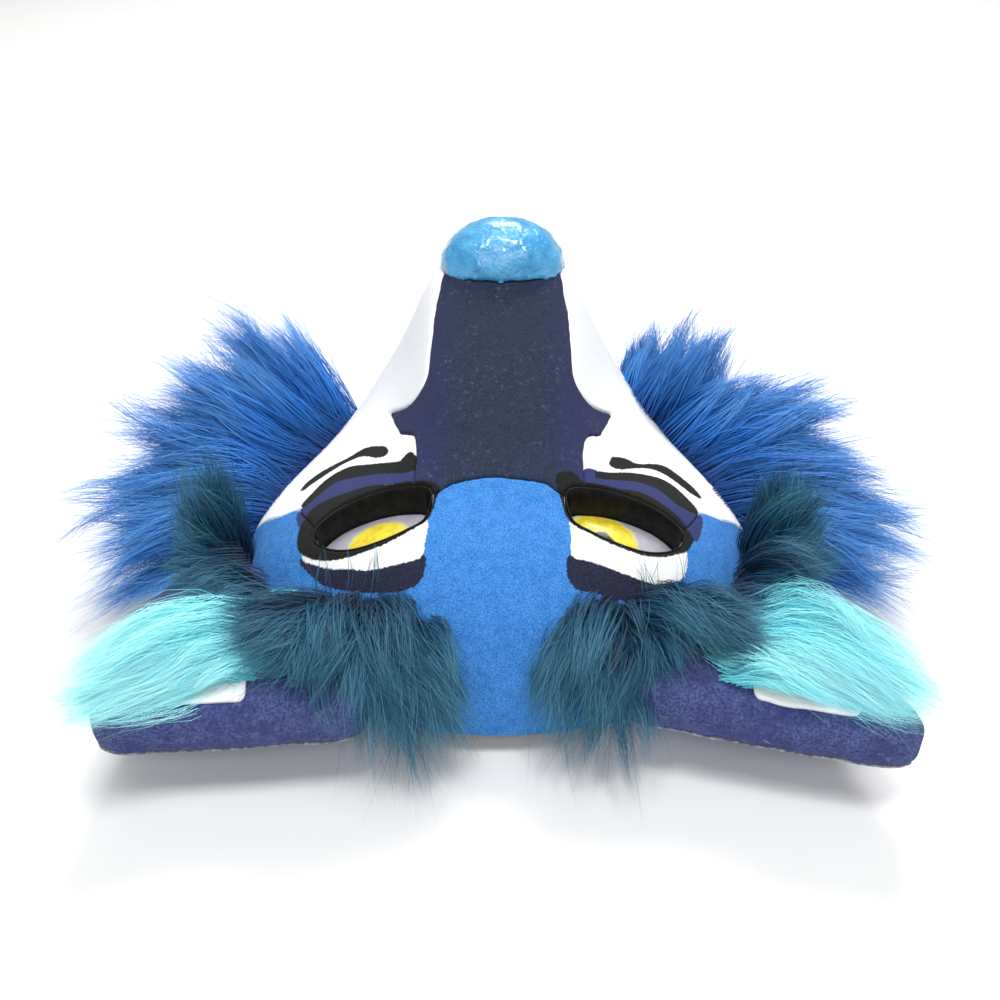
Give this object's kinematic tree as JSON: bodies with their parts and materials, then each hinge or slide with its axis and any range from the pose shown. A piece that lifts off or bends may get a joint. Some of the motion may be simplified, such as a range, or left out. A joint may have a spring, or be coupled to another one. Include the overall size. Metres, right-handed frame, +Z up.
{
  "type": "fur-trimmed canine half mask",
  "caption": "Hollow felt-covered animal half mask with a long muzzle, recessed eyes, flat padded ears and long-pile fur at the cheeks, temples and ears.",
  "frame": {"origin": "middle of the bounding box in X and Y, on the plane that the mask's rim rests on", "axes": "+Z up from the table, the mask lying face up; +Y from the forehead toward the nose; +X toward the mask's right in the picture"},
  "size_m": [0.2983, 0.173, 0.109],
  "materials": {
    "shell_plastic": "moulded dark",
    "forehead_blue_felt": "matt felt, medium blue",
    "navy_felt": "matt felt, dark navy",
    "white_felt": "matt felt, white",
    "socket_black": "painted black",
    "eye_print": "satin, yellow iris on pale lavender",
    "nose_gloss": "glossy, light blue",
    "ear_navy_felt": "matt felt over foam, navy",
    "royal_fur": "long-pile faux fur, royal blue",
    "teal_fur": "long-pile faux fur, dark teal",
    "cyan_fur": "long-pile faux fur, pale cyan"
  },
  "bodies": {
    "root": {"mask_shell": "shell_plastic", "forehead_felt": "forehead_blue_felt", "bridge_felt": "navy_felt", "cheek_felt_left": "white_felt", "cheek_felt_right": "white_felt", "eye_socket_left": "socket_black", "eye_socket_right": "socket_black", "eye_panel_left": "eye_print", "eye_panel_right": "eye_print", "nose": "nose_gloss", "ear_left": "ear_navy_felt", "ear_right": "ear_navy_felt", "ear_lining_left": "white_felt", "ear_lining_right": "white_felt", "cheek_fur_left": "royal_fur", "cheek_fur_right": "royal_fur", "ear_base_fur_left": "teal_fur", "ear_base_fur_right": "teal_fur", "ear_fur_left": "cyan_fur", "ear_fur_right": "cyan_fur"}
  },
  "joints": []
}
